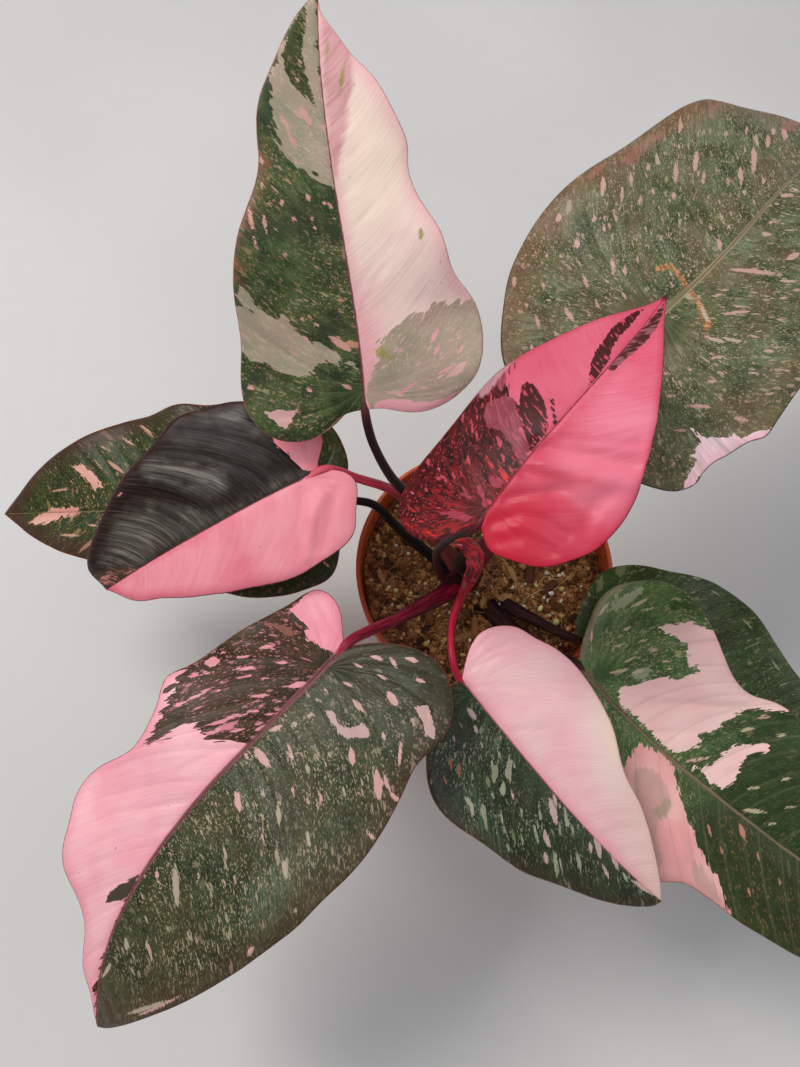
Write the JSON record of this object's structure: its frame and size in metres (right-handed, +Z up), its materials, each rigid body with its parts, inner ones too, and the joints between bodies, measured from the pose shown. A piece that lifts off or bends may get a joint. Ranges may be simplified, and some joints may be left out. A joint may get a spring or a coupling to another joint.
{
  "type": "potted philodendron",
  "caption": "Leafy potted philodendron: broad marbled pink and green leaves on curved petioles, rising from soil in a round tapered plastic nursery pot.",
  "frame": {"origin": "centre of the pot's flat underside", "axes": "+Z up out of the pot; -Y towards the side the plant is usually seen from; +X to that viewer's right"},
  "size_m": [0.4034, 0.3797, 0.2785],
  "materials": {
    "pot": "satin",
    "soil": "rough, loose coir and bark",
    "stem": "satin",
    "sheath": "glossy",
    "petiole": "satin",
    "leaf_top_left": "satin, waxy",
    "leaf_back_right": "satin, waxy",
    "leaf_centre": "satin, waxy",
    "leaf_left_upper": "satin, waxy",
    "leaf_left_lower": "satin, waxy",
    "leaf_front_left": "satin, waxy",
    "leaf_front": "satin, waxy",
    "leaf_front_right": "satin, waxy",
    "leaf_right_lower": "satin, waxy"
  },
  "bodies": {
    "root": {"pot": "pot", "soil": "soil", "main_stem": "stem", "stem_sheath": "sheath", "petiole_top_left": "petiole", "petiole_back_right": "petiole", "petiole_centre": "petiole", "petiole_left_upper": "petiole", "petiole_left_lower": "petiole", "petiole_front_left": "petiole", "petiole_front": "petiole", "petiole_front_right": "petiole", "petiole_right_lower": "petiole", "leaf_top_left": "leaf_top_left", "leaf_back_right": "leaf_back_right", "leaf_centre": "leaf_centre", "leaf_left_upper": "leaf_left_upper", "leaf_left_lower": "leaf_left_lower", "leaf_front_left": "leaf_front_left", "leaf_front": "leaf_front", "leaf_front_right": "leaf_front_right", "leaf_right_lower": "leaf_right_lower"}
  },
  "joints": []
}
